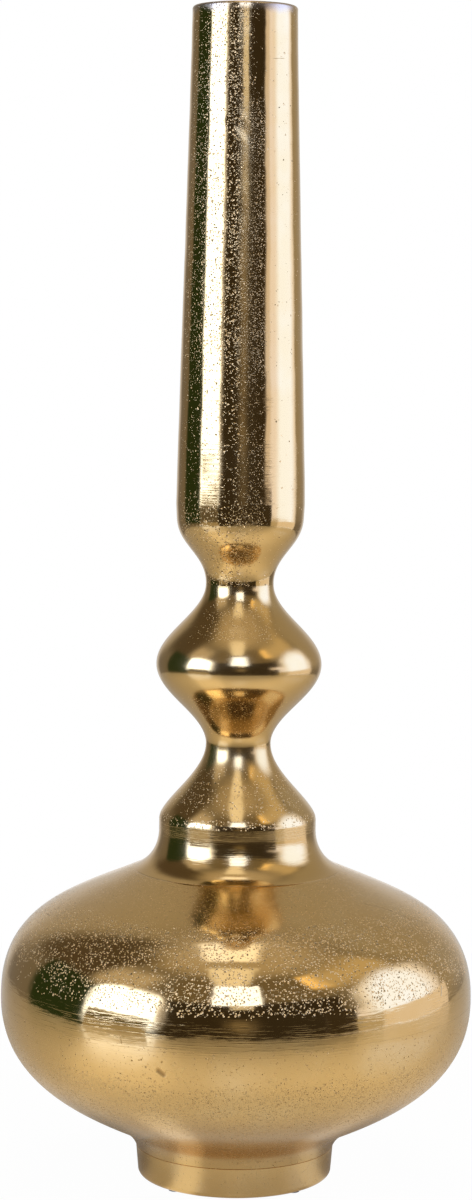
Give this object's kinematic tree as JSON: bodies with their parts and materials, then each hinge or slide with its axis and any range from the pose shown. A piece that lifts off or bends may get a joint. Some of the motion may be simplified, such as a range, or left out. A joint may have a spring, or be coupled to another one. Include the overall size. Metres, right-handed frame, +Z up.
{
  "type": "vase",
  "caption": "Tall turned bottle vase of gold-plated cast metal: long tapering neck tube, round knop between narrow waists, ogee collar, wide flattened belly and low foot ring.",
  "frame": {"origin": "centre of the underside, in the plane of the felt pads that the vase stands on", "axes": "+Z up along the axis of turning; the castings are turned, so +X and +Y are free, and the four pads lie on the diagonals between them"},
  "size_m": [0.25, 0.25, 0.6164],
  "materials": {
    "gold_plate": "cast, turned and polished, then plated in a warm gold, with a fine cast grain left in places",
    "gold_plate_satin": "as gold_plate, but buffed only to a satin, with a scratched turned band below the belly's widest ring",
    "nipple_brass": "threaded brass tube, unpolished",
    "pad_felt": "pressed felt, self-adhesive"
  },
  "bodies": {
    "root": {"foot_pad_1": "pad_felt", "foot_pad_2": "pad_felt", "foot_pad_3": "pad_felt", "foot_pad_4": "pad_felt", "foot_ring": "gold_plate", "belly_lower": "gold_plate_satin", "belly_upper": "gold_plate", "collar": "gold_plate", "collar_nipple": "nipple_brass", "knop": "gold_plate", "neck_nipple": "nipple_brass", "neck_tube": "gold_plate"}
  },
  "joints": []
}
